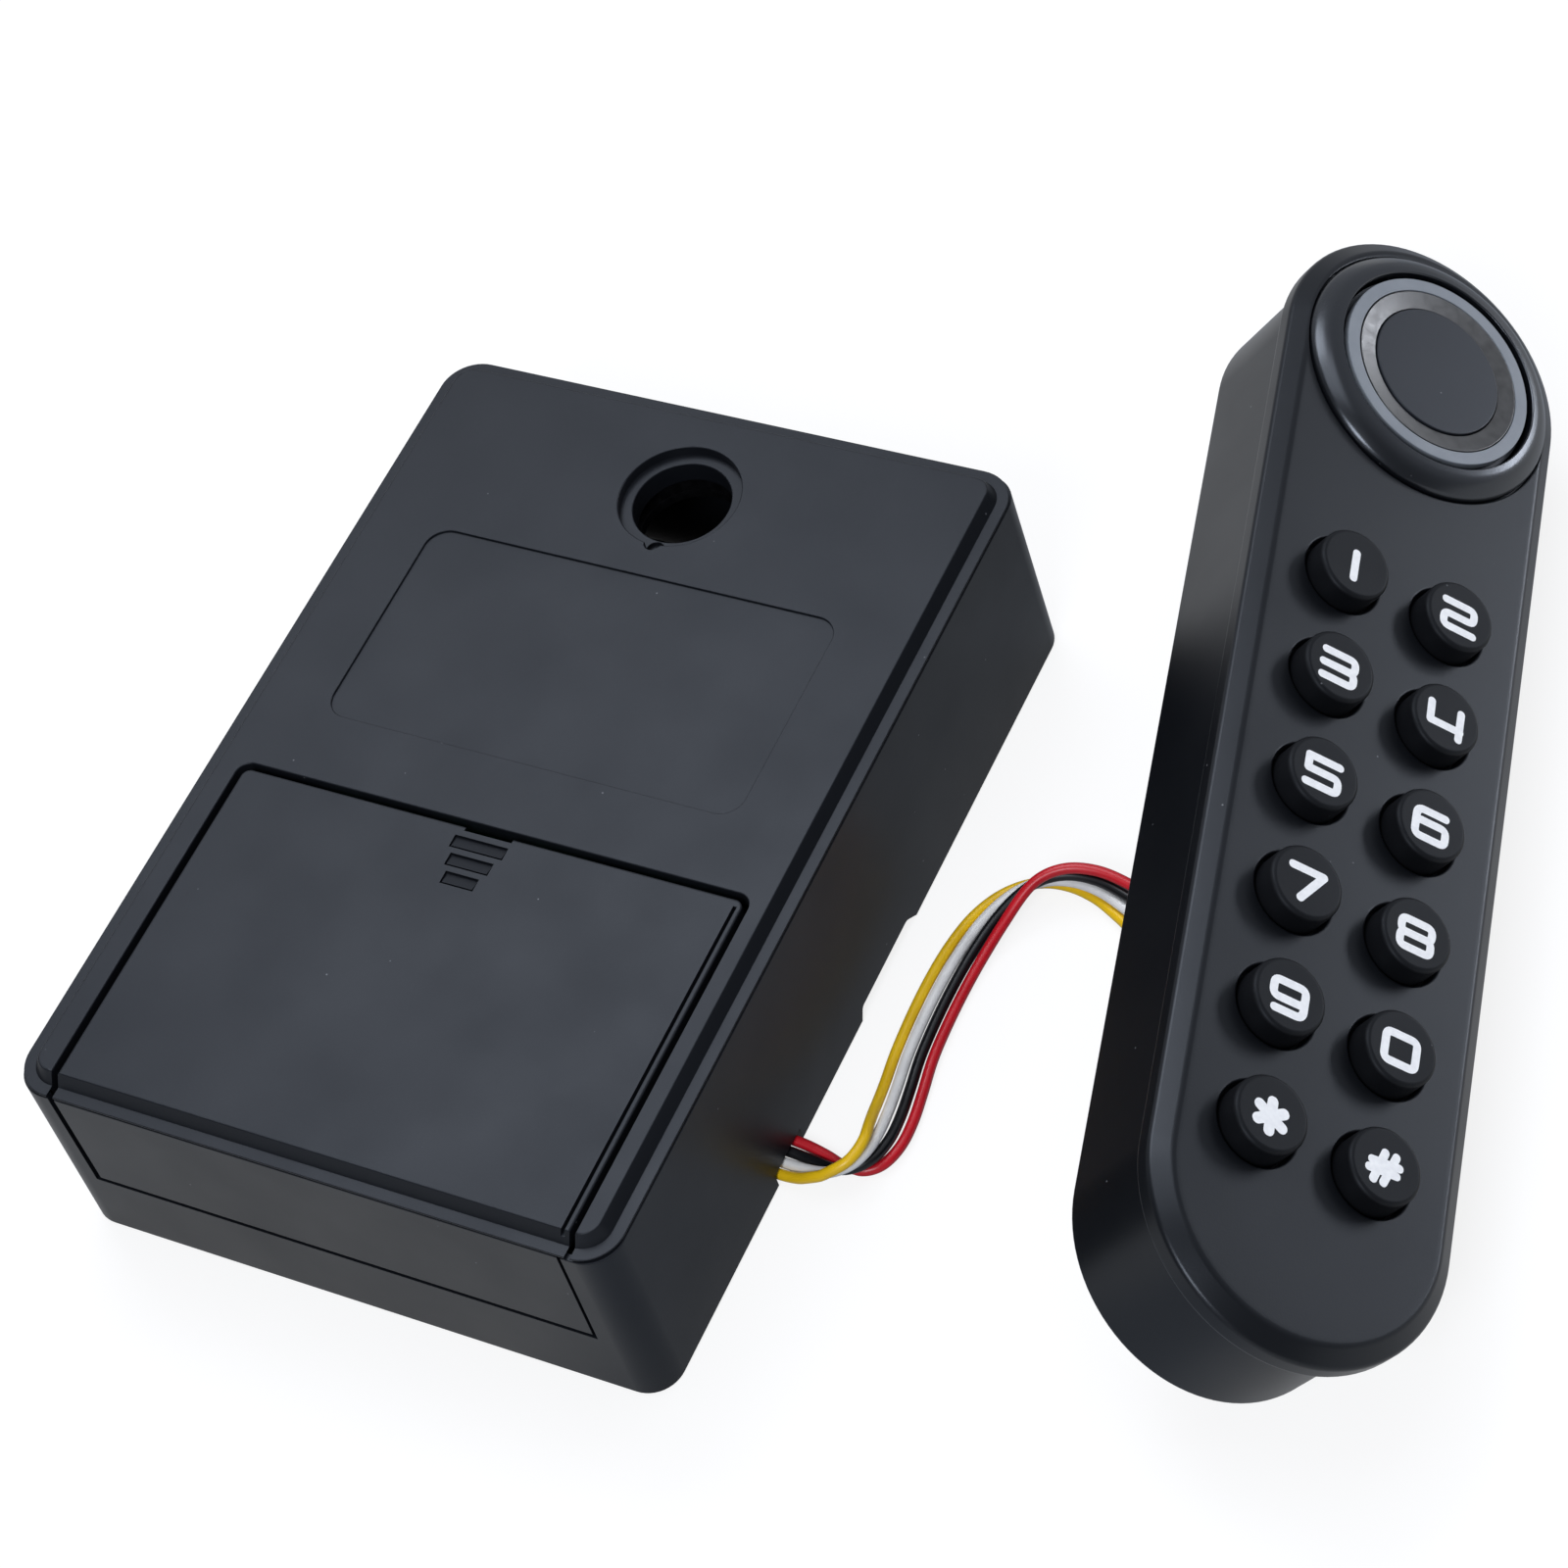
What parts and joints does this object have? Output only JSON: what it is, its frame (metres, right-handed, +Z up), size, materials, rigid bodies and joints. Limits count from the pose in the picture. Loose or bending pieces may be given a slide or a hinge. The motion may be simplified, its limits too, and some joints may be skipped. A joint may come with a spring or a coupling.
{
  "type": "electronic cabinet lock",
  "caption": "Battery lock case with a motor latch and a hinged battery cover, wired to a slim tilted keypad with round rubber keys and a round fingerprint reader.",
  "frame": {"origin": "middle of the lock case's base plate, on its underside", "axes": "+X across the case towards the keypad, +Y from the battery end to the latch end, +Z up"},
  "size_m": [0.1661, 0.1676, 0.0392],
  "materials": {
    "case_plastic": "fine satin texture, dark grey",
    "pad_plastic": "fine satin texture, dark grey",
    "key_rubber": "matte, near black",
    "ring_grey": "satin, mid grey, lets light through",
    "bevel_grey": "satin bevel",
    "reader_black": "satin dark touch surface",
    "steel": "zinc-plated",
    "board_green": "solder mask",
    "white_nylon": "natural nylon",
    "cell_green": "plain printed sleeve",
    "wire_yellow": "soft satin insulation",
    "wire_white": "soft satin insulation",
    "wire_black": "soft satin insulation",
    "wire_red": "soft satin insulation"
  },
  "bodies": {
    "case_and_keypad": {"lock_top_cover": "case_plastic", "lock_case": "case_plastic", "lock_base_plate": "case_plastic", "battery_tray": "case_plastic", "latch_switch": "case_plastic", "keypad_front_plate": "pad_plastic", "keypad_base": "pad_plastic", "sensor_bezel": "pad_plastic", "key_mat": "key_rubber", "cable_outlet": "key_rubber", "sensor_ring": "ring_grey", "sensor_inner_ring": "bevel_grey", "fingerprint_pad": "reader_black", "case_screw_1": "steel", "case_screw_2": "steel", "case_screw_3": "steel", "case_screw_4": "steel", "cell_spring_1": "steel", "cell_spring_2": "steel", "cell_spring_3": "steel", "cell_spring_4": "steel", "cell_contact_1": "steel", "cell_contact_2": "steel", "cell_contact_3": "steel", "cell_contact_4": "steel", "latch_frame": "steel", "gear_axle": "steel", "latch_motor": "steel", "keypad_screw_1": "steel", "keypad_screw_2": "steel", "mounting_post_1": "steel", "mounting_post_2": "steel", "lock_circuit_board": "board_green", "keypad_circuit_board": "board_green", "wire_connector": "white_nylon", "battery_cell_1": "cell_green", "battery_cell_2": "cell_green", "battery_cell_3": "cell_green", "battery_cell_4": "cell_green", "wire_yellow": "wire_yellow", "wire_white": "wire_white", "wire_black": "wire_black", "wire_red": "wire_red"},
    "battery_cover": {"battery_cover": "case_plastic"},
    "drive_gear": {"drive_gear": "white_nylon"},
    "motor_pinion": {"motor_pinion": "steel"},
    "latch_slide": {"latch_slide": "steel"},
    "key_1": {"key_1": "key_rubber"},
    "key_2": {"key_2": "key_rubber"},
    "key_3": {"key_3": "key_rubber"},
    "key_4": {"key_4": "key_rubber"},
    "key_5": {"key_5": "key_rubber"},
    "key_6": {"key_6": "key_rubber"},
    "key_7": {"key_7": "key_rubber"},
    "key_8": {"key_8": "key_rubber"},
    "key_9": {"key_9": "key_rubber"},
    "key_0": {"key_0": "key_rubber"},
    "key_star": {"key_star": "key_rubber"},
    "key_hash": {"key_hash": "key_rubber"}
  },
  "joints": [
    {"name": "battery_cover_hinge", "type": "hinge", "parent": "case_and_keypad", "child": "battery_cover", "pos_m": [0, -0.05809, 0.0124], "axis": [1, 0, 0], "range_deg": [0, 95]},
    {"name": "drive_gear_spin", "type": "hinge", "parent": "case_and_keypad", "child": "drive_gear", "pos_m": [0.0015, 0.02813, 0.0202], "axis": [0, 0, -1], "range_deg": [0, 76.39]},
    {"name": "motor_pinion_spin", "type": "hinge", "parent": "case_and_keypad", "child": "motor_pinion", "pos_m": [-0.01045, 0.02054, 0.0202], "axis": [0, 0, -1], "range_deg": [-137.51, 0]},
    {"name": "latch_slide_travel", "type": "slide", "parent": "case_and_keypad", "child": "latch_slide", "axis": [1, 0, 0], "range_m": [0, 0.008]},
    {"name": "key_1_press", "type": "slide", "parent": "case_and_keypad", "child": "key_1", "axis": [-0.626, -0.1541, -0.7645], "range_m": [0, 0.0012], "stiffness_N_per_m": 1200},
    {"name": "key_2_press", "type": "slide", "parent": "case_and_keypad", "child": "key_2", "axis": [-0.626, -0.1541, -0.7645], "range_m": [0, 0.0012], "stiffness_N_per_m": 1200},
    {"name": "key_3_press", "type": "slide", "parent": "case_and_keypad", "child": "key_3", "axis": [-0.626, -0.1541, -0.7645], "range_m": [0, 0.0012], "stiffness_N_per_m": 1200},
    {"name": "key_4_press", "type": "slide", "parent": "case_and_keypad", "child": "key_4", "axis": [-0.626, -0.1541, -0.7645], "range_m": [0, 0.0012], "stiffness_N_per_m": 1200},
    {"name": "key_5_press", "type": "slide", "parent": "case_and_keypad", "child": "key_5", "axis": [-0.626, -0.1541, -0.7645], "range_m": [0, 0.0012], "stiffness_N_per_m": 1200},
    {"name": "key_6_press", "type": "slide", "parent": "case_and_keypad", "child": "key_6", "axis": [-0.626, -0.1541, -0.7645], "range_m": [0, 0.0012], "stiffness_N_per_m": 1200},
    {"name": "key_7_press", "type": "slide", "parent": "case_and_keypad", "child": "key_7", "axis": [-0.626, -0.1541, -0.7645], "range_m": [0, 0.0012], "stiffness_N_per_m": 1200},
    {"name": "key_8_press", "type": "slide", "parent": "case_and_keypad", "child": "key_8", "axis": [-0.626, -0.1541, -0.7645], "range_m": [0, 0.0012], "stiffness_N_per_m": 1200},
    {"name": "key_9_press", "type": "slide", "parent": "case_and_keypad", "child": "key_9", "axis": [-0.626, -0.1541, -0.7645], "range_m": [0, 0.0012], "stiffness_N_per_m": 1200},
    {"name": "key_0_press", "type": "slide", "parent": "case_and_keypad", "child": "key_0", "axis": [-0.626, -0.1541, -0.7645], "range_m": [0, 0.0012], "stiffness_N_per_m": 1200},
    {"name": "key_star_press", "type": "slide", "parent": "case_and_keypad", "child": "key_star", "axis": [-0.626, -0.1541, -0.7645], "range_m": [0, 0.0012], "stiffness_N_per_m": 1200},
    {"name": "key_hash_press", "type": "slide", "parent": "case_and_keypad", "child": "key_hash", "axis": [-0.626, -0.1541, -0.7645], "range_m": [0, 0.0012], "stiffness_N_per_m": 1200}
  ],
  "couplings": [
    {"joint": "drive_gear_spin", "follows": "latch_slide_travel", "rad_per_m": 166.67},
    {"joint": "motor_pinion_spin", "follows": "latch_slide_travel", "rad_per_m": -300}
  ]
}
